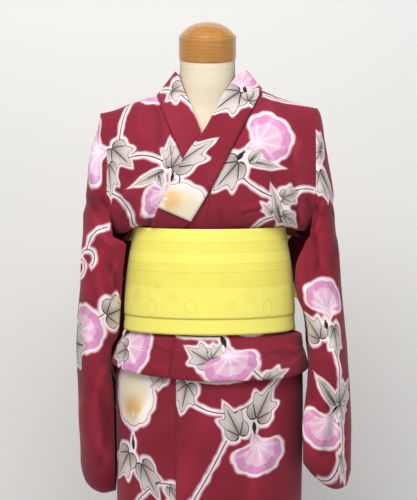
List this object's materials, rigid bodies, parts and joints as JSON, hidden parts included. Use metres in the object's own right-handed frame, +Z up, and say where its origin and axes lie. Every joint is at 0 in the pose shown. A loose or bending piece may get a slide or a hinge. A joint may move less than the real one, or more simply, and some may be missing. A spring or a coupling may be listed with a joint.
{
  "type": "cotton yukata robe with an obi, worn on a limbless dress form",
  "caption": "Cotton yukata robe, left front over right, with a waist tuck, hanging sleeves and a wide obi, worn on a linen dress form with a wood neck cap on a stand.",
  "frame": {"origin": "centre of the stand's foot, on the floor", "axes": "+Z up the pole to the neck cap, -Y out of the front of the robe, +X to the wearer's left"},
  "size_m": [0.5423, 0.34, 1.4722],
  "materials": {
    "robe_cotton": "matte plain-weave cotton",
    "obi_cloth": "satin",
    "form_linen": "matte linen",
    "form_wood": "satin varnish",
    "stand_metal": "satin"
  },
  "bodies": {
    "root": {"body_left": "robe_cotton", "body_right": "robe_cotton", "okumi_left": "robe_cotton", "okumi_right": "robe_cotton", "skirt_front_left": "robe_cotton", "skirt_front_right": "robe_cotton", "skirt_okumi_left": "robe_cotton", "skirt_okumi_right": "robe_cotton", "skirt_back_left": "robe_cotton", "skirt_back_right": "robe_cotton", "collar_band": "robe_cotton", "over_collar": "robe_cotton", "sleeve_left": "robe_cotton", "sleeve_right": "robe_cotton", "obi_first_turn": "obi_cloth", "obi_second_turn": "obi_cloth", "obi_knot": "obi_cloth", "obi_wing_left": "obi_cloth", "obi_wing_right": "obi_cloth", "obi_tail": "obi_cloth", "form_torso": "form_linen", "form_neck_cap": "form_wood", "form_pole": "stand_metal", "form_foot": "stand_metal"}
  },
  "joints": []
}
